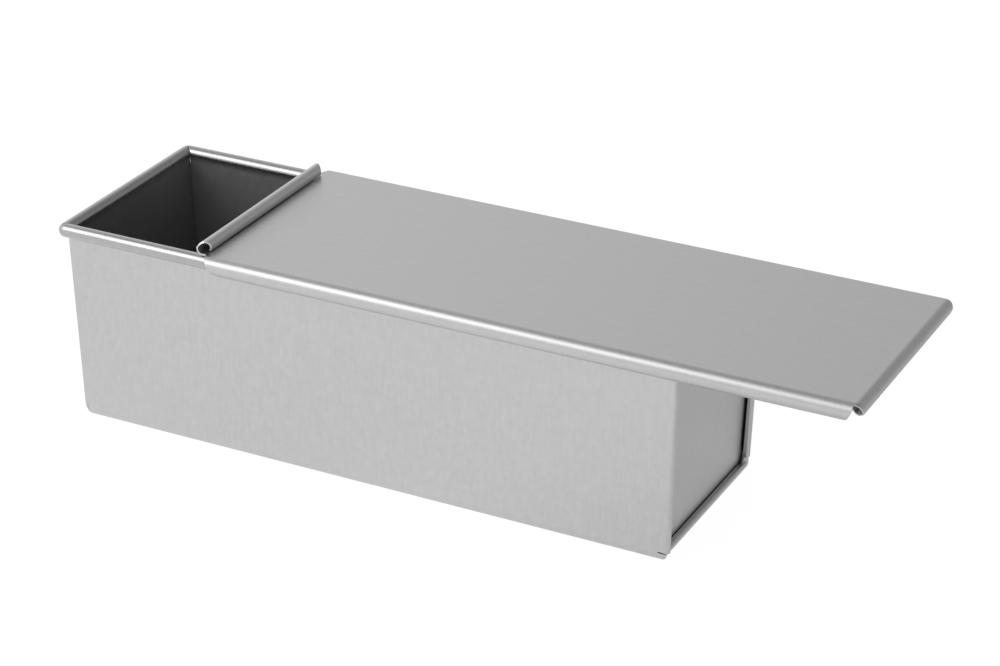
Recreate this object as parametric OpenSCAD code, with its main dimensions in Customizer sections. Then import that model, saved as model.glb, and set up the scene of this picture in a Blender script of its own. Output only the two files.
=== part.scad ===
// Pullman loaf pan: a folded and wired sheet-steel pan with a flat lid that slides along its rim.
// X runs along the pan, Y across it and Z up. The origin is the centre of the pan's underside.
// The trough is one sheet bent into a U. Two end panels stand in its hemmed ends, and a steel
// wire runs round the rim inside the rolled bead. The lid's long sides curl round that bead.

/* [Pan] */
// Inside length at the rim
pan_length = 300; // [200:5:400]
// Inside width
pan_width = 98.5; // [75:0.5:150]
// Height from the underside to the top of the rim
pan_height = 101.5; // [60:0.5:140]
// Lean of the end panels from upright, in degrees
end_lean = 2.2; // [0.8:0.1:5]
// Outside radius of the bend between each side wall and the floor
floor_bend = 6; // [4.5:0.25:12]

/* [Sheet and rim wire] */
// Thickness of the pan's sheet
pan_sheet = 0.8; // [0.6:0.05:1]
// Diameter of the rim wire
wire_d = 4.8; // [3.6:0.1:6]
// Space between the wire and the bead rolled round it
wire_play = 0.1; // [0.05:0.05:0.2]
// Part of the bead's ring left open under the rim, in degrees
bead_open = 40; // [25:5:60]
// Radius of a corner of the rim, at the middle of the bead
rim_corner = 1.2; // [0.8:0.1:1.6]
// Width of the open mitre where two beads meet at a corner
mitre_gap = 0.3; // [0.15:0.05:0.8]

/* [End panels and hems] */
// Depth of the recess in front of each end panel, at the rim
end_recess = 3.5; // [3.3:0.1:6]
// Depth of that recess at the floor hem
floor_recess = 3.4; // [2.9:0.05:4]
// Angle by which the side hems stand more upright than the end panels, in degrees
hem_flare = 0.2; // [0:0.1:1.2]
// Space left in a hem beside the flange that it holds
hem_play = 0.8; // [0.5:0.05:0.95]
// Gap between the edge of a hem and the end panel
hem_reveal = 0.5; // [0.35:0.05:0.8]
// Inside radius of the bend between an end panel and its flange
flange_bend = 1; // [0.4:0.05:1.15]
// Height of the open notch between a side hem and the floor hem
hem_notch = 0.3; // [0.2:0.1:3]

/* [Lid] */
// Thickness of the lid's sheet
lid_sheet = 0.8; // [0.6:0.05:1]
// Clearance round the bead inside the lid's side curls and in front of the stop curl
slide_clearance = 0.3; // [0.2:0.05:0.6]
// Sideways play of the lid on the bead, each way
side_play = 1.75; // [0.5:0.05:3]
// Length of the flat lip that hooks under the bead
lip = 1.5; // [0.8:0.1:2]
// Outside radius of the grip curl, which stands up at the left end
grip_curl = 3; // [2.6:0.1:5]
// Outside radius of the stop curl, which turns down at the right end
stop_curl = 3.8; // [3:0.1:5]
// Angle through which the lid's corners are drawn round beside the stop curl
corner_wrap = 26; // [20:2:50]
// Angle through which the grip curl and the stop curl are rolled
end_wrap = 250; // [200:5:262]
// How far the middle of the grip curl passes the middle of the left bead when shut
lid_reach = 0; // [0:0.1:3]
// How far the lid is drawn out from shut
lid_open = 76; // [0:0.2:240]

/* [Hidden] */
$fn = 96;

steel = [0.76, 0.77, 0.78];
dark_steel = [0.62, 0.63, 0.64];

// Rim bead: its bore holds the wire, and its inner side is flush with the inside of the pan
bore_r = wire_d / 2 + wire_play;
bead_r = bore_r + pan_sheet;
bead_x = pan_length / 2 + bead_r;
bead_y = pan_width / 2 + bead_r;
bead_z = pan_height - bead_r;
corner_x = bead_x - rim_corner;
corner_y = bead_y - rim_corner;
// Half of the mitre's gap, measured along X or Y
mitre_half = mitre_gap / sqrt(2);

// Trough
inner_y = pan_width / 2;
outer_y = inner_y + pan_sheet;
bend_y = outer_y - floor_bend;
hem_r = (3 * pan_sheet + hem_play) / 2;
panel_face = -bore_r;
nose_at = panel_face + end_recess - hem_r;
hem_top = -(bead_r + 1.2);
// Depth by which a side hem is sunk into its wall, so that the two are one solid
weld = 0.02;
hem_lean = end_lean - hem_flare;
hem_lift = floor_bend + hem_notch;
floor_face_x = bead_x + panel_face / cos(end_lean) - (bead_z - hem_r) * tan(end_lean);
floor_nose_x = floor_face_x + floor_recess - hem_r;

// End panel, in a frame at the bead's axis that leans with it
panel_top_y = inner_y - 0.1;
// Height of the strip, half in the web and half in the bead, that makes the two one solid
root = 0.6;
flange_r = floor_bend - pan_sheet;
flange_bow = flange_bend + pan_sheet;
flange_end = nose_at - 0.1;
foot_end = panel_face + floor_recess - hem_r - 0.15;
panel_foot = (pan_sheet + 0.02 - bead_z + foot_end * sin(end_lean)) / cos(end_lean);

// Lid
channel_r = bead_r + slide_clearance;
side_curl = channel_r + lid_sheet;
curl_y = bead_y + side_play;
plate_z = bead_z + channel_r;
plate_top = plate_z + lid_sheet;
flap_y = curl_y - 0.25;
stop_x = bead_x + bead_r + slide_clearance + stop_curl;
grip_x = -(bead_x + lid_reach);
side_start = grip_x + 0.7 * grip_curl;
// Height of the stop curl's middle above the middle of the side curls
stop_rise = plate_top - stop_curl - bead_z;

// Moves a flat outline drawn in Y and Z so that it runs along X
module along_x(length) {
    rotate([90, 0, 90]) linear_extrude(height = length, center = true) children();
}

// Moves a flat outline drawn in X and Z so that it runs along Y
module along_y(length) {
    rotate([90, 0, 0]) linear_extrude(height = length, center = true) children();
}

// Copies a shape across the X axis, the Y axis or both
module both_sides() {
    children();
    mirror([0, 1, 0]) children();
}

module both_ends() {
    children();
    mirror([1, 0, 0]) children();
}

// Section of the rolled bead, open below on the side of the wall it grows from
module bead_section() {
    reach = 2 * bead_r;
    difference() {
        circle(r = bead_r);
        circle(r = bore_r);
        polygon([[0, 0], [-reach, 0], [-reach, -reach * tan(bead_open)]]);
    }
}

// A quarter of the bent sheet between a side wall and the floor
module floor_bend_section() {
    translate([bend_y, floor_bend]) intersection() {
        difference() {
            circle(r = floor_bend);
            circle(r = floor_bend - pan_sheet);
        }
        translate([0, -floor_bend]) square([floor_bend, floor_bend]);
    }
}

module trough_section() {
    translate([-bend_y, 0]) square([2 * bend_y, pan_sheet]);
    both_sections() {
        floor_bend_section();
        translate([inner_y, floor_bend]) square([pan_sheet, bead_z - floor_bend]);
        translate([bead_y, bead_z]) bead_section();
    }
}

module both_sections() {
    children();
    mirror([1, 0]) children();
}

// Middle of a side hem's nose at a height above the underside
function side_nose_x(z) = bead_x + nose_at / cos(hem_lean) - (bead_z - z) * tan(hem_lean);

// Side view of the trough: leaning ends for the hems, and stepped top corners for the end beads
module trough_outline() {
    hem_z = bead_z + hem_top * cos(end_lean);
    hem_x = side_nose_x(hem_z) + weld;
    lift_x = side_nose_x(hem_lift) + weld;
    polygon([
        [-floor_nose_x, -1], [floor_nose_x, -1], [floor_nose_x, floor_bend],
        [lift_x, hem_lift], [hem_x, hem_z],
        [corner_x, hem_z], [corner_x, pan_height + 1],
        [-corner_x, pan_height + 1], [-corner_x, hem_z],
        [-hem_x, hem_z], [-lift_x, hem_lift], [-floor_nose_x, floor_bend]
    ]);
}

// Bead turned round a tight corner of the rim, past its middle, ready for the mitre cut
module bead_corner(lean) {
    reach = 2 * bead_r;
    rotate_extrude(angle = 60) intersection() {
        translate([rim_corner, 0]) rotate(-lean) bead_section();
        translate([0, -reach]) square([2 * reach, 2 * reach]);
    }
}

// Wedges that cut the beads at the four mitres: side is 1 to clear the ends and -1 the long sides
module mitre_wedges(side) {
    reach = 2 * bead_r;
    both_ends() both_sides() translate([bead_x, bead_y, bead_z + hem_top * cos(end_lean)])
        linear_extrude(height = 2 * reach) polygon([
            [-reach, side * mitre_half - reach], [reach, side * mitre_half + reach],
            [side * reach, side * (mitre_half - reach)]
        ]);
}

// Round nose of a hem, on the outward side of its centre
module nose_section() {
    difference() {
        intersection() {
            circle(r = hem_r);
            translate([0, -hem_r]) square([hem_r, 2 * hem_r]);
        }
        circle(r = hem_r - pan_sheet);
    }
}

// Nose with the leg that is folded back towards the end panel
module hem_section(leg) {
    nose_section();
    translate([-leg, hem_r - pan_sheet]) square([leg, pan_sheet]);
}

// Hem on a side wall: its leg is trimmed along the end panel, and its foot is cut at a slant
module side_hem() {
    leg = floor_recess + end_recess;
    foot = -bead_z / cos(hem_lean);
    slant = 4 * hem_r;
    reach = 2 * end_recess + hem_r;
    edge_x = bead_x + (panel_face + hem_reveal) / cos(end_lean);
    edge_foot_x = edge_x - bead_z * tan(end_lean);
    intersection() {
        translate([bead_x, 0, bead_z]) rotate([0, hem_lean, 0])
            translate([nose_at, outer_y - hem_r - weld, foot]) mirror([0, 1, 0])
                linear_extrude(height = hem_top - foot) {
                    hem_section(leg);
                    translate([-1, 0.1 - hem_r]) square([1, pan_sheet - 0.2]);
                }
        along_x(2 * pan_length) polygon([
            [outer_y + 1, hem_lift - 0.45], [outer_y + 1, pan_height],
            [outer_y - slant, pan_height], [outer_y - slant, hem_lift + 0.45 * slant]
        ]);
        along_y(2 * pan_width) polygon([
            [edge_foot_x, 0], [edge_x + reach, 0], [edge_x + reach, bead_z], [edge_x, bead_z]
        ]);
    }
}

// Hem on the floor, whose nose follows both bends part of the way up
module floor_hem() {
    leg = floor_recess - hem_r - hem_reveal;
    translate([floor_nose_x, 0, hem_r]) along_y(2 * bend_y) hem_section(leg);
    both_sides() translate([floor_nose_x, bend_y, floor_bend])
        rotate([0, 90, 0]) rotate_extrude(angle = 82.5)
            translate([floor_bend - hem_r, 0]) rotate(90) mirror([0, 1]) nose_section();
}

module trough() {
    color(steel) {
        difference() {
            union() {
                intersection() {
                    along_x(2 * pan_length) trough_section();
                    along_y(2 * pan_width) trough_outline();
                }
                both_ends() both_sides() translate([corner_x, corner_y, bead_z])
                    rotate([0, 0, 30]) bead_corner(0);
            }
            mitre_wedges(1);
        }
        both_ends() both_sides() side_hem();
        both_ends() floor_hem();
    }
}

// Section of the bend and flange round an end panel: X is the distance from the panel's middle
module flange_section(edge, end) {
    back = -bead_r;
    translate([edge - flange_bow, back + flange_bow]) intersection() {
        difference() {
            circle(r = flange_bow);
            circle(r = flange_bend);
        }
        translate([0, -flange_bow]) square([flange_bow, flange_bow]);
    }
    translate([edge - pan_sheet, back + flange_bow])
        square([pan_sheet, end - back - flange_bow]);
}

// Flat of the end panel inside its flange bends, drawn in Y and Z
module panel_outline() {
    inset = flange_r - flange_bow;
    bend_z = panel_foot + flange_r;
    side = inner_y - flange_r;
    translate([-(side + inset), bend_z]) square([2 * (side + inset), hem_top - bend_z]);
    translate([-side, panel_foot + flange_bow]) square([2 * side, inset]);
    translate([-panel_top_y, hem_top]) square([2 * panel_top_y, -hem_top]);
    both_sections() translate([side, bend_z]) intersection() {
        circle(r = inset);
        translate([0, -inset]) square([inset, inset]);
    }
}

// End panel for the right end: web, flange on three sides, and the bead rolled over the wire
module end_panel() {
    side = inner_y - flange_r;
    bend_z = panel_foot + flange_r;
    translate([bead_x, 0, bead_z]) rotate([0, end_lean, 0]) {
        translate([-bead_r + pan_sheet / 2, 0, 0]) {
            along_x(pan_sheet) panel_outline();
            cube([pan_sheet / 2, 2 * panel_top_y - 2, root], center = true);
        }
        both_sides() {
            translate([0, 0, bend_z]) linear_extrude(height = hem_top - bend_z)
                rotate(90) mirror([0, 1]) flange_section(inner_y, flange_end);
            translate([0, side, bend_z]) rotate([0, 90, 0])
                rotate_extrude(angle = 90) flange_section(flange_r, foot_end);
        }
        along_y(2 * side) rotate(90) mirror([0, 1]) mirror([1, 0])
            flange_section(-panel_foot, foot_end);
    }
    difference() {
        union() {
            translate([bead_x, 0, bead_z]) along_y(2 * corner_y)
                rotate(-end_lean) bead_section();
            both_sides() translate([corner_x, corner_y, bead_z]) bead_corner(end_lean);
        }
        mitre_wedges(-1);
    }
}

module right_end_panel() {
    color(dark_steel) end_panel();
}

module left_end_panel() {
    color(dark_steel) mirror([1, 0, 0]) end_panel();
}

// Rim wire: one closed loop with its butt joint in the middle of the rear side
module rim_wire() {
    joint = 0.4;
    color("gray") translate([0, 0, bead_z]) {
        translate([0, -bead_y, 0]) rotate([0, 90, 0])
            cylinder(d = wire_d, h = 2 * corner_x, center = true);
        both_ends() {
            translate([joint / 2, bead_y, 0]) rotate([0, 90, 0])
                cylinder(d = wire_d, h = corner_x - joint / 2);
            translate([bead_x, 0, 0]) rotate([90, 0, 0])
                cylinder(d = wire_d, h = 2 * corner_y, center = true);
            both_sides() translate([corner_x, corner_y, 0])
                rotate_extrude(angle = 90) intersection() {
                    translate([rim_corner, 0]) circle(d = wire_d);
                    translate([0, -wire_d]) square([2 * wire_d, 2 * wire_d]);
                }
        }
    }
}

// Half ring of a curl, on the positive side of its centre, starting from the top
module half_curl(radius) {
    intersection() {
        difference() {
            circle(r = radius);
            circle(r = radius - lid_sheet);
        }
        translate([0, -radius]) square([radius, 2 * radius]);
    }
}

// Rest of a grip or stop curl, which carries on past the half ring on the other side
module curl_tail(radius) {
    reach = 2 * radius;
    rest = end_wrap - 180;
    intersection() {
        difference() {
            circle(r = radius);
            circle(r = radius - lid_sheet);
        }
        polygon([[0, 0], [0, -reach], [-reach, -reach], [-reach, -reach / tan(rest)]]);
    }
}

// Curl along one long side of the lid, with a stepped cut at each end
module side_channel() {
    drop = 2 * side_curl;
    low = plate_top - drop;
    intersection() {
        along_x(4 * pan_length) translate([curl_y, bead_z]) {
            half_curl(side_curl);
            translate([-lip, -side_curl]) square([lip, lid_sheet]);
        }
        along_y(4 * pan_width) polygon([
            [side_start, plate_top], [stop_x, plate_top],
            [stop_x, bead_z + side_curl * cos(corner_wrap)],
            [stop_x - 0.03 * drop, plate_top - 0.24 * drop],
            [stop_x - 0.12 * drop, plate_top - 0.55 * drop],
            [stop_x - 0.27 * drop, plate_top - 0.8 * drop], [stop_x - 0.53 * drop, low],
            [side_start + 0.76 * drop, low], [side_start + 0.35 * drop, plate_top - 0.69 * drop],
            [side_start + 0.32 * drop, plate_top - 0.48 * drop]
        ]);
    }
    translate([side_start, flap_y, plate_z])
        cube([stop_x - side_start, curl_y - flap_y, lid_sheet]);
}

// Curl across one end of the lid, rolled down from the plate's edge and narrower towards its lip
module end_roll(radius, half_width) {
    drop = 2 * radius;
    taper = 0.4 * drop;
    tail = 0.45 * radius;
    intersection() {
        along_y(2 * half_width) half_curl(radius);
        along_x(2 * drop) polygon([
            [-half_width, radius], [half_width, radius],
            [half_width, -0.16 * radius], [half_width - 0.62 * taper, -0.55 * radius],
            [half_width - taper, -radius], [taper - half_width, -radius],
            [0.62 * taper - half_width, -0.55 * radius], [-half_width, -0.16 * radius]
        ]);
    }
    intersection() {
        along_y(2 * half_width) curl_tail(radius);
        linear_extrude(height = 2 * drop, center = true) polygon([
            [0, half_width - taper], [0, taper - half_width],
            [-radius, taper + tail - half_width], [-radius, half_width - taper - tail]
        ]);
    }
}

// Doubly curved corner that joins a side curl to the stop curl
module stop_corner() {
    reach = 2 * side_curl;
    translate([stop_x, curl_y, bead_z]) rotate([0, -90, 0]) rotate_extrude(angle = corner_wrap)
        intersection() {
            translate([stop_rise, 0]) rotate(-90) half_curl(stop_curl);
            translate([0.05, -reach]) square([reach, 2 * reach]);
        }
}

module lid() {
    color(steel) translate([lid_open, 0, 0]) {
        translate([grip_x, -flap_y, plate_z])
            cube([stop_x - grip_x, 2 * flap_y, lid_sheet]);
        both_sides() {
            side_channel();
            stop_corner();
        }
        translate([stop_x, 0, plate_top - stop_curl]) end_roll(stop_curl, curl_y);
        translate([grip_x, 0, plate_z + grip_curl]) rotate([0, 180, 0])
            end_roll(grip_curl, flap_y);
    }
}

trough();
left_end_panel();
right_end_panel();
rim_wire();
lid();
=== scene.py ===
"""Dressed model of a pullman loaf pan: folded sheet-steel pan, rim wire and sliding lid.

Lengths are in metres, angles in degrees, and tones are linear grey levels.
"""

from __future__ import annotations

import logging
import math
from dataclasses import dataclass
from enum import Enum

import bpy
from mathutils import Matrix, Vector

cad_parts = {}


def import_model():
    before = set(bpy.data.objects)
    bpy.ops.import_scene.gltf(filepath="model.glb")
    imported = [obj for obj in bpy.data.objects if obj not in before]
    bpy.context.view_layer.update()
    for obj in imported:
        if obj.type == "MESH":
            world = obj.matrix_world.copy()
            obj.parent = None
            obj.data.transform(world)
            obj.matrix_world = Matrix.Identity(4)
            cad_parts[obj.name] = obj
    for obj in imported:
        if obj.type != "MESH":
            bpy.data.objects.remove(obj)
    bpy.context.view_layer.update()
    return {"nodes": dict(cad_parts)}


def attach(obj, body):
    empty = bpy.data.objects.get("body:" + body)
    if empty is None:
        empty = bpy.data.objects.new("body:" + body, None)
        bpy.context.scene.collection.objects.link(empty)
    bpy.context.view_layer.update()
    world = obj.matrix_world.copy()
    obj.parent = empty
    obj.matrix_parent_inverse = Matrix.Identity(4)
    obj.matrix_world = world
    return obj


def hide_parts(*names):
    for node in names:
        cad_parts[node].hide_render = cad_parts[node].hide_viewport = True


log = logging.getLogger("loaf_pan")

Levels = tuple[tuple[float, float], ...]

MERGE_DISTANCE = 0.000005
SMOOTH_ANGLE = 35.0
RAMP_MIDDLE = 0.5
UPWARDS = Vector((0.0, 0.0, 1.0))
NEARWARDS = Vector((0.0, -1.0, 0.0))
LEVEL_PART = (1.0, 1.0, 0.0)


class Grain(Enum):
    """Direction of a surface's grain: how much of a pattern's frequency each axis keeps."""

    AROUND_THE_PAN = (1.0, 0.1, 0.1)
    UP_THE_END = (0.1, 1.0, 0.1)
    ALONG_THE_LID = (0.12, 1.0, 1.0)
    ALONG_THE_WIRE = (0.3, 0.3, 1.0)
    EVEN = (1.0, 1.0, 1.0)


def add_math(
    tree: bpy.types.NodeTree,
    operation: str,
    first: bpy.types.NodeSocket | float,
    second: bpy.types.NodeSocket | float,
) -> bpy.types.NodeSocket:
    """Adds a Math node.

    Args:
        tree: The node tree to add it to.
        operation: The node's operation.
        first: A socket or a number for its first input.
        second: A socket or a number for its second input.

    Returns:
        The node's output socket.
    """
    node = tree.nodes.new("ShaderNodeMath")
    node.operation = operation
    for slot, value in zip(node.inputs, (first, second)):
        if isinstance(value, float):
            slot.default_value = value
        else:
            tree.links.new(value, slot)
    return node.outputs[0]


def add_vector_math(
    tree: bpy.types.NodeTree,
    operation: str,
    first: bpy.types.NodeSocket,
    second: bpy.types.NodeSocket | tuple[float, float, float],
) -> bpy.types.Node:
    """Adds a Vector Math node.

    Args:
        tree: The node tree to add it to.
        operation: The node's operation.
        first: The socket for its first input.
        second: A socket or a fixed vector for its second input.

    Returns:
        The node, whose operation decides whether Vector or Value is read from it.
    """
    node = tree.nodes.new("ShaderNodeVectorMath")
    node.operation = operation
    tree.links.new(first, node.inputs[0])
    if isinstance(second, tuple):
        node.inputs[1].default_value = second
    else:
        tree.links.new(second, node.inputs[1])
    return node


def add_range(
    tree: bpy.types.NodeTree,
    value: bpy.types.NodeSocket,
    before: tuple[float, float],
    after: tuple[float, float] = (0.0, 1.0),
) -> bpy.types.NodeSocket:
    """Turns one range of values into another, level beyond both ends.

    Args:
        tree: The node tree to add it to.
        value: The socket that carries the value.
        before: The value's first and last step.
        after: What these two steps are turned into.

    Returns:
        The socket that carries the new value.
    """
    node = tree.nodes.new("ShaderNodeMapRange")
    node.inputs["From Min"].default_value, node.inputs["From Max"].default_value = before
    node.inputs["To Min"].default_value, node.inputs["To Max"].default_value = after
    tree.links.new(value, node.inputs["Value"])
    return node.outputs["Result"]


def add_levels(
    tree: bpy.types.NodeTree, value: bpy.types.NodeSocket, levels: Levels
) -> bpy.types.NodeSocket:
    """Adds a ramp of grey levels, which may pass 1.

    Args:
        tree: The node tree to add it to.
        value: The socket that carries the place on the ramp, from 0 to 1.
        levels: Pairs of place and grey level, at least two.

    Returns:
        The socket that carries the level.
    """
    ramp = tree.nodes.new("ShaderNodeValToRGB")
    elements = ramp.color_ramp.elements
    while len(elements) < len(levels):
        elements.new(RAMP_MIDDLE)
    for element, (place, level) in zip(elements, levels):
        element.position = place
        element.color = (level, level, level, 1.0)
    tree.links.new(value, ramp.inputs["Fac"])
    return ramp.outputs["Color"]


def fade_to_grey(
    tree: bpy.types.NodeTree,
    factor: bpy.types.NodeSocket,
    colour: bpy.types.NodeSocket,
    grey: float,
) -> bpy.types.NodeSocket:
    """Turns a colour into a grey where a factor is 1.

    Args:
        tree: The node tree to add it to.
        factor: The socket that carries the factor.
        colour: The socket that carries the colour.
        grey: The grey level.

    Returns:
        The socket that carries the mixed colour.
    """
    node = tree.nodes.new("ShaderNodeMix")
    node.data_type = "RGBA"
    node.inputs["B"].default_value = (grey, grey, grey, 1.0)
    tree.links.new(factor, node.inputs["Factor"])
    tree.links.new(colour, node.inputs["A"])
    return node.outputs["Result"]


def multiply_colours(
    tree: bpy.types.NodeTree, first: bpy.types.NodeSocket, second: bpy.types.NodeSocket
) -> bpy.types.NodeSocket:
    """Multiplies two colours.

    Args:
        tree: The node tree to add it to.
        first: The socket that carries the first colour.
        second: The socket that carries the second colour.

    Returns:
        The socket that carries their product.
    """
    node = tree.nodes.new("ShaderNodeMix")
    node.data_type = "RGBA"
    node.blend_type = "MULTIPLY"
    node.inputs["Factor"].default_value = 1.0
    tree.links.new(first, node.inputs["A"])
    tree.links.new(second, node.inputs["B"])
    return node.outputs["Result"]


@dataclass(frozen=True)
class SheetFinish:
    """Satin metal with mottling, rolling lines, painted shade and residue in folds, and
    brighter worn edges.

    The rim above rim_height has its own roughness and a darker tone, which is painted shade
    for the darker room that the bead reflects. Where inside_metal is below 1, the faces that
    look into the pan are less metallic. Shade is painted into the folds, along with baked-on
    residue, from ambient occlusion. A finish may paint it only in the folds of its own piece,
    and not where another piece comes close, and it may paint an even shade on inner faces
    instead, by inside_shade. An edge is worn where its rounded normal has turned past the first
    of the two cosines in worn_range.
    """

    name: str
    grain: Grain
    tone: float = 0.62
    tone_spread: float = 0.035
    roughness: float = 0.38
    roughness_spread: float = 0.04
    mottle_size: float = 0.003
    mottle_detail: float = 5.0
    mottle_share: float = 0.55
    line_width: float = 0.0012
    line_detail: float = 3.0
    line_share: float = 0.45
    line_depth: float = 0.00002
    line_strength: float = 0.35
    pattern_range: tuple[float, float] = (0.3, 0.7)
    worn_tone: float = 0.74
    worn_range: tuple[float, float] = (0.97, 0.80)
    edge_width: float = 0.0006
    edge_round: float = 0.0003
    edge_samples: int = 4
    # Painted shade and baked-on residue in the folds, found by ambient occlusion.
    fold_shade_depth: float = 0.0035
    fold_shade_tone: float = 0.3
    fold_shade_range: tuple[float, float] = (0.15, 0.75)
    fold_shade_samples: int = 8
    own_fold_shade: bool = True
    fold_shade_inside: bool = True
    inside_metal: float = 1.0
    # Painted shade: an even darkening of inner faces.
    inside_shade: float = 1.0
    inside_blend: float = 0.01
    rim_roughness: float = 0.28
    # Painted shade on the rim, for the darker room that the bead reflects.
    rim_shade: float = 0.8
    rim_height: float = 0.0965
    rim_blend: float = 0.0015

    def material(self) -> bpy.types.Material:
        """Builds the node material.

        Returns:
            The new material, named after the finish.
        """
        material = bpy.data.materials.new(self.name)
        material.use_nodes = True
        tree = material.node_tree
        tree.nodes.clear()
        output = tree.nodes.new("ShaderNodeOutputMaterial")
        metal = tree.nodes.new("ShaderNodeBsdfPrincipled")
        tree.links.new(metal.outputs["BSDF"], output.inputs["Surface"])

        place = tree.nodes.new("ShaderNodeTexCoord")
        inside = self._inside_mask(tree, place)
        rim = self._rim_mask(tree, place)
        mottle = self._noise(tree, place, Grain.EVEN, self.mottle_size, self.mottle_detail)
        lines = self._noise(tree, place, self.grain, self.line_width, self.line_detail)
        pattern = add_math(
            tree,
            "ADD",
            add_math(tree, "MULTIPLY", mottle, self.mottle_share),
            add_math(tree, "MULTIPLY", lines, self.line_share),
        )

        if self.inside_metal < 1.0:
            below_rim = add_math(tree, "SUBTRACT", 1.0, rim)
            coated = add_math(tree, "MULTIPLY", inside, below_rim)
            bare = add_math(tree, "MULTIPLY", coated, self.inside_metal - 1.0)
            tree.links.new(add_math(tree, "ADD", bare, 1.0), metal.inputs["Metallic"])
        else:
            metal.inputs["Metallic"].default_value = 1.0
        colour = multiply_colours(
            tree, self._sheet_tone(tree, pattern), self._shade(tree, inside, rim)
        )
        tree.links.new(colour, metal.inputs["Base Color"])
        tree.links.new(self._rough(tree, pattern, rim), metal.inputs["Roughness"])
        tree.links.new(self._relief(tree, lines), metal.inputs["Normal"])
        return material

    def _sheet_tone(
        self, tree: bpy.types.NodeTree, pattern: bpy.types.NodeSocket
    ) -> bpy.types.NodeSocket:
        """Gives the sheet its tone, with the worn tone on its edges.

        Args:
            tree: The material's node tree.
            pattern: The socket that carries the mottling and the rolling lines.

        Returns:
            The socket that carries the colour of the open sheet.
        """
        low, high = self.pattern_range
        levels = ((low, self.tone - self.tone_spread), (high, self.tone + self.tone_spread))
        sheet = add_levels(tree, pattern, levels)
        return fade_to_grey(tree, self._edge_mask(tree), sheet, self.worn_tone)

    def _shade(
        self,
        tree: bpy.types.NodeTree,
        inside: bpy.types.NodeSocket,
        rim: bpy.types.NodeSocket,
    ) -> bpy.types.NodeSocket:
        """Paints shade into the folds, and paints shade on the inside and the rim.

        Args:
            tree: The material's node tree.
            inside: The socket that carries 1 on inner faces.
            rim: The socket that carries 1 on the rim.

        Returns:
            The socket that carries what the sheet's tone is multiplied by.
        """
        # Painted shade and baked-on residue in the folds.
        fold_shade = self._fold_shade_mask(tree)
        # Painted shade on inner faces: an even darkening in place of the painted shade of the
        # folds.
        if not self.fold_shade_inside:
            outside = add_math(tree, "SUBTRACT", 1.0, inside)
            fold_shade = add_math(tree, "MULTIPLY", fold_shade, outside)
            even = add_math(tree, "MULTIPLY", inside, self.inside_shade)
            fold_shade = add_math(tree, "ADD", fold_shade, even)
        # Painted shade on the rim, for the darker room that the bead reflects.
        rim_shade = add_math(tree, "MULTIPLY", rim, self.rim_shade - 1.0)
        return add_math(tree, "MULTIPLY", fold_shade, add_math(tree, "ADD", rim_shade, 1.0))

    def _rough(
        self,
        tree: bpy.types.NodeTree,
        pattern: bpy.types.NodeSocket,
        rim: bpy.types.NodeSocket,
    ) -> bpy.types.NodeSocket:
        """Gives the sheet its roughness, with another on the rim.

        Args:
            tree: The material's node tree.
            pattern: The socket that carries the mottling and the rolling lines.
            rim: The socket that carries 1 on the rim.

        Returns:
            The socket that carries the roughness.
        """
        smoothest = self.roughness - self.roughness_spread
        roughest = self.roughness + self.roughness_spread
        sheet = add_range(tree, pattern, self.pattern_range, (smoothest, roughest))
        polish = add_math(tree, "MULTIPLY", rim, self.rim_roughness - self.roughness)
        return add_math(tree, "ADD", sheet, polish)

    def _relief(
        self, tree: bpy.types.NodeTree, lines: bpy.types.NodeSocket
    ) -> bpy.types.NodeSocket:
        """Presses the rolling lines into the surface and rounds its edges.

        Args:
            tree: The material's node tree.
            lines: The socket that carries the rolling lines.

        Returns:
            The socket that carries the normal.
        """
        bump = tree.nodes.new("ShaderNodeBump")
        bump.inputs["Strength"].default_value = self.line_strength
        bump.inputs["Distance"].default_value = self.line_depth
        tree.links.new(lines, bump.inputs["Height"])
        tree.links.new(self._rounding(tree, self.edge_round), bump.inputs["Normal"])
        return bump.outputs["Normal"]

    def _rounding(self, tree: bpy.types.NodeTree, radius: float) -> bpy.types.NodeSocket:
        """Rounds the edges in the shading only.

        Args:
            tree: The material's node tree.
            radius: Radius of the rounding.

        Returns:
            The socket that carries the rounded normal.
        """
        rounding = tree.nodes.new("ShaderNodeBevel")
        rounding.samples = self.edge_samples
        rounding.inputs["Radius"].default_value = radius
        return rounding.outputs["Normal"]

    @staticmethod
    def _noise(
        tree: bpy.types.NodeTree,
        place: bpy.types.Node,
        grain: Grain,
        size: float,
        detail: float,
    ) -> bpy.types.NodeSocket:
        """Adds a noise pattern on the piece's own coordinates.

        Args:
            tree: The material's node tree.
            place: The Texture Coordinate node.
            grain: Direction that the pattern is drawn out in.
            size: Size of one feature across the grain.
            detail: Octaves of the noise.

        Returns:
            The socket that carries the pattern from 0 to 1.
        """
        mapping = tree.nodes.new("ShaderNodeMapping")
        mapping.inputs["Scale"].default_value = grain.value
        noise = tree.nodes.new("ShaderNodeTexNoise")
        noise.inputs["Scale"].default_value = 1.0 / size
        noise.inputs["Detail"].default_value = detail
        tree.links.new(place.outputs["Object"], mapping.inputs["Vector"])
        tree.links.new(mapping.outputs["Vector"], noise.inputs["Vector"])
        return noise.outputs["Fac"]

    def _rim_mask(
        self, tree: bpy.types.NodeTree, place: bpy.types.Node
    ) -> bpy.types.NodeSocket:
        """Finds the rolled rim, which handling has polished and which gets a painted shade.

        Args:
            tree: The material's node tree.
            place: The Texture Coordinate node.

        Returns:
            The socket that carries 1 on the rim and 0 below it.
        """
        split = tree.nodes.new("ShaderNodeSeparateXYZ")
        tree.links.new(place.outputs["Object"], split.inputs["Vector"])
        blend = (self.rim_height - self.rim_blend, self.rim_height + self.rim_blend)
        return add_range(tree, split.outputs["Z"], blend)

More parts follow.
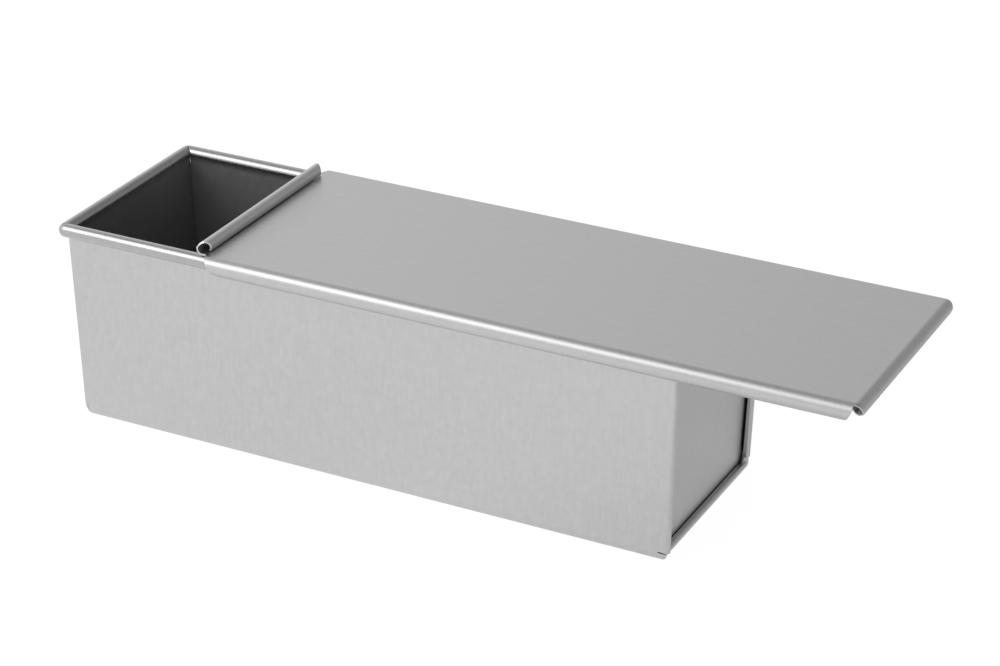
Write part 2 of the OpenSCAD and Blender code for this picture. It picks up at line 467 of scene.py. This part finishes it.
    def _inside_mask(
        self, tree: bpy.types.NodeTree, place: bpy.types.Node
    ) -> bpy.types.NodeSocket:
        """Finds the faces that look towards the upright line through the pan's middle.

        Args:
            tree: The material's node tree.
            place: The Texture Coordinate node.

        Returns:
            The socket that carries 1 on inner faces and 0 on outer ones.
        """
        level = add_vector_math(tree, "MULTIPLY", place.outputs["Object"], LEVEL_PART)
        outward = add_vector_math(
            tree, "DOT_PRODUCT", level.outputs["Vector"], place.outputs["Normal"]
        )
        return add_range(tree, outward.outputs["Value"], (0.0, -self.inside_blend))

    def _fold_shade_mask(self, tree: bpy.types.NodeTree) -> bpy.types.NodeSocket:
        """Finds the folds, where shade is painted along with baked-on residue.

        Args:
            tree: The material's node tree.

        Returns:
            The socket that carries 1 in the open and the painted shade's tone deep in a fold.
        """
        closed = tree.nodes.new("ShaderNodeAmbientOcclusion")
        closed.samples = self.fold_shade_samples
        closed.only_local = self.own_fold_shade
        closed.inputs["Distance"].default_value = self.fold_shade_depth
        return add_range(tree, closed.outputs["AO"], self.fold_shade_range, (self.fold_shade_tone, 1.0))

    def _edge_mask(self, tree: bpy.types.NodeTree) -> bpy.types.NodeSocket:
        """Finds the edges, where the coating is rubbed bright.

        Args:
            tree: The material's node tree.

        Returns:
            The socket that carries 1 on worn edges and 0 elsewhere.
        """
        surface = tree.nodes.new("ShaderNodeNewGeometry")
        turned = add_vector_math(
            tree,
            "DOT_PRODUCT",
            self._rounding(tree, self.edge_width),
            surface.outputs["Normal"],
        )
        return add_range(tree, turned.outputs["Value"], self.worn_range)


PAN_SHEET = SheetFinish("pan_aluminised_sheet", Grain.AROUND_THE_PAN, inside_metal=0.82)
# The end panels' painted shade reaches into folds where another piece comes close, and lies
# evenly on their inner faces.
END_SHEET = SheetFinish(
    "end_panel_aluminised_sheet",
    Grain.UP_THE_END,
    tone=0.585,
    worn_tone=0.7,
    fold_shade_depth=0.0048,
    own_fold_shade=False,
    fold_shade_inside=False,
    inside_shade=0.85,
)
LID_SHEET = SheetFinish(
    "lid_aluminised_sheet",
    Grain.ALONG_THE_LID,
    roughness=0.4,
    fold_shade_depth=0.0014,
    rim_roughness=0.4,
    rim_shade=1.0,
)
DRAWN_WIRE = SheetFinish(
    "drawn_rim_wire", Grain.ALONG_THE_WIRE, tone=0.45, roughness=0.3, worn_tone=0.55
)


def dress(piece: bpy.types.Object, material: bpy.types.Material) -> None:
    """Gives a piece one material.

    Args:
        piece: The piece to dress.
        material: The material for all its faces.
    """
    piece.data.materials.clear()
    piece.data.materials.append(material)


def merged_copy(node: bpy.types.Object, name: str) -> bpy.types.Object:
    """Copies a CAD node's mesh and joins its loose triangles.

    Args:
        node: The CAD node.
        name: Name of the new piece.

    Returns:
        The new piece, the only object that is selected.
    """
    bpy.ops.object.select_all(action="DESELECT")
    piece = bpy.data.objects.new(name, node.data.copy())
    bpy.context.scene.collection.objects.link(piece)
    piece.select_set(True)
    bpy.context.view_layer.objects.active = piece
    bpy.ops.mesh.customdata_custom_splitnormals_clear()
    bpy.ops.object.mode_set(mode="EDIT")
    bpy.ops.mesh.select_all(action="SELECT")
    bpy.ops.mesh.remove_doubles(threshold=MERGE_DISTANCE)
    bpy.ops.object.mode_set(mode="OBJECT")
    return piece


def cut_level(piece: bpy.types.Object, height: float) -> None:
    """Adds a level line of points round a piece.

    Args:
        piece: The piece, which is selected.
        height: Height of the line above the underside.
    """
    bpy.context.view_layer.objects.active = piece
    bpy.ops.object.mode_set(mode="EDIT")
    bpy.ops.mesh.select_all(action="SELECT")
    bpy.ops.mesh.bisect(plane_co=UPWARDS * height, plane_no=UPWARDS)
    bpy.ops.object.mode_set(mode="OBJECT")


def smooth_sheet(piece: bpy.types.Object) -> None:
    """Smooths a sheet's bends and keeps its flats flat.

    Args:
        piece: The piece, which is selected and active.
    """
    bpy.ops.object.shade_smooth_by_angle(angle=math.radians(SMOOTH_ANGLE))
    weighted = piece.modifiers.new("flat_faces", "WEIGHTED_NORMAL")
    weighted.keep_sharp = True
    bpy.ops.object.modifier_apply(modifier=weighted.name)


def between(value: float, steps: Levels) -> float:
    """Reads a value off a line through given points.

    Args:
        value: The place to read it at.
        steps: Pairs of place and value, in order.

    Returns:
        The value at that place, level beyond both ends.
    """
    if value <= steps[0][0]:
        return steps[0][1]
    for (start, low), (end, high) in zip(steps, steps[1:]):
        if value <= end:
            return low + (high - low) * (value - start) / (end - start)
    return steps[-1][1]


@dataclass
class Pan:
    """The fixed body: trough, two end panels and the wire inside the rolled rim.

    The trough is a copy with the marks of hand folding: the near right hem stands out by
    hem_push at heights above the underside, most at its foot; the far right hem has a leg
    shorter by leg_short, and a squarer lower corner; and the foot of every side hem is closed
    on the fold round its corner. A hem's nose and its leg's edge lean out as they rise, by
    nose_lean and leg_lean, and a point within leg_edge of that edge's line belongs to it.
    """

    nodes: dict[str, bpy.types.Object]
    hem_low: float = 0.0061
    hem_high: float = 0.0938
    hem_push: Levels = ((0.0065, 0.003), (0.081, 0.0022), (0.0938, 0.0015))
    nose_x: float = 0.14887
    nose_lean: float = 0.0349
    leg_x: float = 0.14753
    leg_lean: float = 0.0384
    leg_edge: float = 0.0001
    leg_y: tuple[float, float] = (0.0467, 0.0478)
    leg_short: float = 0.0006
    corner_x: float = 0.14895
    corner_y: float = 0.04405
    corner_z: float = 0.00605
    corner_square: float = 0.26
    corner_sharpness: int = 4
    foot_x: float = 0.14945
    foot_y: float = 0.0465
    foot_range: tuple[float, float] = (0.0062, 0.0078)
    foot_z: float = 0.0057
    foot_share: float = 0.15

    def build(self) -> None:
        """Builds and dresses the pan's sheet pieces and its wire."""
        trough = merged_copy(self.nodes["trough"], "folded_trough")
        bend = self.hem_push[1][0]
        cut_level(trough, bend)
        for vertex in trough.data.vertices:
            self._push_near_hem(vertex.co)
            self._shorten_far_leg(vertex.co)
            self._square_far_corner(vertex.co)
            self._close_foot(vertex.co)
        smooth_sheet(trough)
        dress(trough, PAN_SHEET.material())
        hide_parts("trough")
        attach(trough, "pan")
        log.info("pan: folded trough dressed")
        ends = END_SHEET.material()
        for name in ("left_end_panel", "right_end_panel"):
            dress(self.nodes[name], ends)
            log.info("pan: %s dressed", name)
        dress(self.nodes["rim_wire"], DRAWN_WIRE.material())
        log.info("pan: rim_wire dressed")

    def _push_near_hem(self, place: Vector) -> None:
        """Moves a point of the near right hem outwards, less and less round the lower corner.

        Args:
            place: The point, which is changed.
        """
        if place.y > -self.corner_y:
            return
        if self.hem_low < place.z < self.hem_high:
            if place.x > self.nose_x + self.nose_lean * place.z:
                place.x += between(place.z, self.hem_push)
        elif place.z <= self.hem_low and place.x > self.corner_x:
            turn = math.atan2(-self.corner_y - place.y, self.corner_z - place.z)
            place.x += self.hem_push[0][1] * turn / math.radians(90.0)

    def _shorten_far_leg(self, place: Vector) -> None:
        """Moves a point on the far right hem's leg edge towards the fold.

        Args:
            place: The point, which is changed.
        """
        on_edge = abs(place.x - self.leg_x - self.leg_lean * place.z) < self.leg_edge
        in_leg = self.leg_y[0] < place.y < self.leg_y[1]
        if on_edge and in_leg and self.hem_low < place.z < self.hem_high:
            place.x += self.leg_short

    def _square_far_corner(self, place: Vector) -> None:
        """Moves a point of the fold round the far right lower corner out to a squarer corner.

        Args:
            place: The point, which is changed.
        """
        out = place.y - self.corner_y
        down = self.corner_z - place.z
        if place.x > self.corner_x and out > 0.0 and down > 0.0:
            diagonal = math.sin(2.0 * math.atan2(out, down))
            reach = 1.0 + self.corner_square * diagonal ** self.corner_sharpness
            place.y = self.corner_y + out * reach
            place.z = self.corner_z - down * reach

    def _close_foot(self, place: Vector) -> None:
        """Moves a point of a side hem's foot down onto the fold round the corner.

        Args:
            place: The point, which is changed.
        """
        low, high = self.foot_range
        beside = abs(place.x) > self.foot_x and abs(place.y) > self.foot_y
        if beside and low < place.z < high:
            place.z = self.foot_z + (place.z - low) * self.foot_share


@dataclass
class Lid:
    """The flat lid whose curled sides slide along the rim.

    The lid is a copy whose left curl, the grip, stops short at the far side and is curled on
    until its free edge almost meets the plate. The grip is what stands above plate_top left of
    grip_right, and all that is left of grip_foot. Its middle, and its free edge's place and
    reach, are given in x and z.
    """

    nodes: dict[str, bpy.types.Object]
    plate_top: float = 0.10265
    grip_right: float = -0.0742
    grip_foot: float = -0.07525
    grip_end: float = 0.0498
    grip_slant: float = 0.8
    grip_middle: tuple[float, float] = (-0.0773, 0.1048)
    grip_edge: tuple[float, float] = (-0.07486, 0.10569)
    grip_edge_reach: tuple[float, float] = (0.0004, 0.0002)
    grip_edge_facing: float = -0.85
    grip_turn: float = 60.0
    grip_steps: int = 8

    def build(self) -> None:
        """Builds and dresses the lid."""
        lid = merged_copy(self.nodes["lid"], "sliding_lid")
        self._close_grip(lid)
        for vertex in lid.data.vertices:
            self._stop_grip_short(vertex.co)
        smooth_sheet(lid)
        dress(lid, LID_SHEET.material())
        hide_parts("lid")
        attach(lid, "lid")
        log.info("lid: sliding lid dressed")

    def _close_grip(self, lid: bpy.types.Object) -> None:
        """Spins the grip's free edge on round its middle.

        Args:
            lid: The lid's copy, which is selected.
        """
        bpy.context.view_layer.objects.active = lid
        bpy.ops.object.mode_set(mode="EDIT")
        bpy.ops.mesh.select_mode(type="FACE")
        bpy.ops.mesh.select_all(action="DESELECT")
        bpy.ops.object.mode_set(mode="OBJECT")
        for face in lid.data.polygons:
            off_x = abs(face.center.x - self.grip_edge[0])
            off_z = abs(face.center.z - self.grip_edge[1])
            near_edge = off_x < self.grip_edge_reach[0] and off_z < self.grip_edge_reach[1]
            face.select = near_edge and face.normal.z < self.grip_edge_facing
        bpy.ops.object.mode_set(mode="EDIT")
        bpy.ops.mesh.spin(
            steps=self.grip_steps,
            angle=math.radians(self.grip_turn),
            center=(self.grip_middle[0], 0.0, self.grip_middle[1]),
            axis=NEARWARDS,
        )
        bpy.ops.mesh.select_all(action="SELECT")
        bpy.ops.mesh.remove_doubles(threshold=MERGE_DISTANCE)
        bpy.ops.object.mode_set(mode="OBJECT")

    def _stop_grip_short(self, place: Vector) -> None:
        """Moves a point of the grip that lies past its slanting far end back to that end.

        Args:
            place: The point, which is changed.
        """
        above_plate = place.x < self.grip_right and place.z > self.plate_top
        if above_plate or place.x < self.grip_foot:
            slant = self.grip_slant * max(0.0, place.x - self.grip_middle[0])
            place.y = min(place.y, self.grip_end - slant)


@dataclass
class Studio:
    """Pale floor, dim room, one large softbox and the camera.

    The camera's angles, place and lens are those that fit the photograph's straight edges.
    Levels by side run from the pan's left to its right, where floor_side gives the share of
    the floor's levels that one metre passes, and levels by height run from the horizon up. The
    camera sees the floor and the room white, and metal sees their levels. The floor's levels
    are
    painted light in its glow to metal: brighter than white by the softbox and darker to the
    right, for the softbox's fall-off.
    """

    azimuth: float = 27.0515
    elevation: float = 26.3432
    roll: float = 0.0769
    camera_place: tuple[float, float, float] = (0.58424, -1.05380, 0.65286)
    lens: float = 104.624
    sensor_width: float = 36.0
    clip_start: float = 0.01
    floor_size: float = 12.0
    floor_drop: float = 0.0002
    floor_paper: float = 0.9
    floor_white: float = 1.13
    glow_to_camera: float = 0.85
    glow_to_metal: float = 0.55
    floor_side: tuple[float, float, float] = (0.5, 0.3, 0.0)
    # Painted light: the floor's glow to metal, brighter than white by the softbox and darker to
    # the right, for its fall-off.
    floor_painted_light_by_side: Levels = (
        (0.0, 1.2), (0.5, 1.2), (0.56, 1.0), (0.65, 0.8), (0.85, 0.6), (1.0, 0.5),
    )
    room_white: float = 1.0
    room_by_side: Levels = (
        (0.0, 1.0), (0.185, 0.96), (0.262, 0.86), (0.335, 0.765),
        (0.44, 0.57), (0.54, 0.44), (0.63, 0.4), (1.0, 0.4),
    )
    room_by_height: Levels = ((0.0, 1.0), (0.5, 1.0), (0.7, 0.75), (0.85, 0.55), (1.0, 0.45))
    softbox_turn: float = -41.0
    softbox_height: float = 40.0
    softbox_distance: float = 2.0
    softbox_aim: float = 0.1
    softbox_size: tuple[float, float] = (1.3, 1.25)
    softbox_power: float = 9.7

    def build(self) -> None:
        """Builds the floor, the light and the camera."""
        self._floor()
        self._world()
        self._softbox()
        self._camera()
        log.info("studio: floor, room, softbox and camera built")

    def _floor(self) -> None:
        """Adds the pale floor, which keeps a faint shadow, and whose glow to metal is painted
        light that darkens away from the softbox.
        """
        bpy.ops.object.select_all(action="DESELECT")
        bpy.ops.mesh.primitive_plane_add(
            size=self.floor_size, location=(0.0, 0.0, -self.floor_drop)
        )
        floor = bpy.context.active_object
        floor.name = "studio_floor"
        material = bpy.data.materials.new("pale_floor")
        material.use_nodes = True
        tree = material.node_tree
        tree.nodes.clear()
        output = tree.nodes.new("ShaderNodeOutputMaterial")
        paper = tree.nodes.new("ShaderNodeBsdfDiffuse")
        grey = self.floor_paper
        paper.inputs["Color"].default_value = (grey, grey, grey, 1.0)

        place = tree.nodes.new("ShaderNodeTexCoord")
        side = add_vector_math(tree, "DOT_PRODUCT", place.outputs["Object"], self.floor_side)
        along = add_math(tree, "ADD", side.outputs["Value"], RAMP_MIDDLE)
        # Painted light: the floor's glow to metal, graded by side for the softbox's fall-off.
        level = add_levels(tree, along, self.floor_painted_light_by_side)
        path = tree.nodes.new("ShaderNodeLightPath")
        seen = path.outputs["Is Camera Ray"]
        glow = tree.nodes.new("ShaderNodeEmission")
        white = fade_to_grey(tree, seen, level, self.floor_white)
        tree.links.new(white, glow.inputs["Color"])

        metal = add_math(
            tree, "MAXIMUM", path.outputs["Is Glossy Ray"], path.outputs["Is Transmission Ray"]
        )
        metal = add_math(tree, "MULTIPLY", metal, self.glow_to_metal)
        camera = add_math(tree, "MULTIPLY", seen, self.glow_to_camera)
        mix = tree.nodes.new("ShaderNodeMixShader")
        tree.links.new(add_math(tree, "ADD", metal, camera), mix.inputs["Fac"])
        tree.links.new(paper.outputs["BSDF"], mix.inputs[1])
        tree.links.new(glow.outputs["Emission"], mix.inputs[2])
        tree.links.new(mix.outputs["Shader"], output.inputs["Surface"])
        dress(floor, material)

    def _world(self) -> None:
        """Builds the room: pale on the softbox's side, and darker on the other and overhead."""
        world = bpy.data.worlds.new("studio_room")
        bpy.context.scene.world = world
        world.use_nodes = True
        tree = world.node_tree
        tree.nodes.clear()
        output = tree.nodes.new("ShaderNodeOutputWorld")
        room = tree.nodes.new("ShaderNodeBackground")
        place = tree.nodes.new("ShaderNodeTexCoord")
        split = tree.nodes.new("ShaderNodeSeparateXYZ")
        tree.links.new(place.outputs["Generated"], split.inputs["Vector"])
        across = add_range(tree, split.outputs["X"], (-1.0, 1.0))
        side = add_levels(tree, across, self.room_by_side)
        height = add_levels(tree, split.outputs["Z"], self.room_by_height)
        path = tree.nodes.new("ShaderNodeLightPath")
        seen = path.outputs["Is Camera Ray"]
        colour = fade_to_grey(tree, seen, multiply_colours(tree, side, height), self.room_white)
        tree.links.new(colour, room.inputs["Color"])
        tree.links.new(room.outputs["Background"], output.inputs["Surface"])

    def _softbox(self) -> None:
        """Adds the large softbox at the front left."""
        away = self._direction(self.softbox_turn, self.softbox_height)
        lamp = bpy.data.lights.new("softbox", "AREA")
        lamp.shape = "RECTANGLE"
        lamp.size, lamp.size_y = self.softbox_size
        lamp.energy = self.softbox_power
        holder = bpy.data.objects.new("softbox", lamp)
        bpy.context.scene.collection.objects.link(holder)
        holder.location = away * self.softbox_distance + UPWARDS * self.softbox_aim
        holder.rotation_euler = (-away).to_track_quat("-Z", "Y").to_euler()

    def _camera(self) -> None:
        """Adds the camera at the photograph's viewing angle."""
        back = self._direction(self.azimuth, self.elevation)
        azimuth = math.radians(self.azimuth)
        level = Vector((math.cos(azimuth), math.sin(azimuth), 0.0))
        roll = math.radians(self.roll)
        right = level * math.cos(roll) + back.cross(level) * math.sin(roll)
        up = back.cross(right)
        data = bpy.data.cameras.new("camera")
        data.sensor_width = self.sensor_width
        data.lens = self.lens
        data.clip_start = self.clip_start
        camera = bpy.data.objects.new("camera", data)
        bpy.context.scene.collection.objects.link(camera)
        turn = Matrix((right, up, back)).transposed().to_4x4()
        camera.matrix_world = Matrix.Translation(self.camera_place) @ turn
        bpy.context.scene.camera = camera

    @staticmethod
    def _direction(azimuth: float, elevation: float) -> Vector:
        """Gives a direction away from the pan.

        Args:
            azimuth: Angle to the right of the near side.
            elevation: Angle above the floor.

        Returns:
            The vector of length 1 in that direction.
        """
        turn = math.radians(azimuth)
        height = math.radians(elevation)
        return Vector((
            math.sin(turn) * math.cos(height),
            -math.cos(turn) * math.cos(height),
            math.sin(height),
        ))


def main() -> None:
    """Builds the dressed pan and its studio."""
    logging.basicConfig(level=logging.INFO, format="%(message)s")
    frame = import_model()
    Pan(frame["nodes"]).build()
    Lid(frame["nodes"]).build()
    Studio().build()
    bpy.context.scene.view_settings.view_transform = "Standard"


if __name__ == "__main__":
    main()
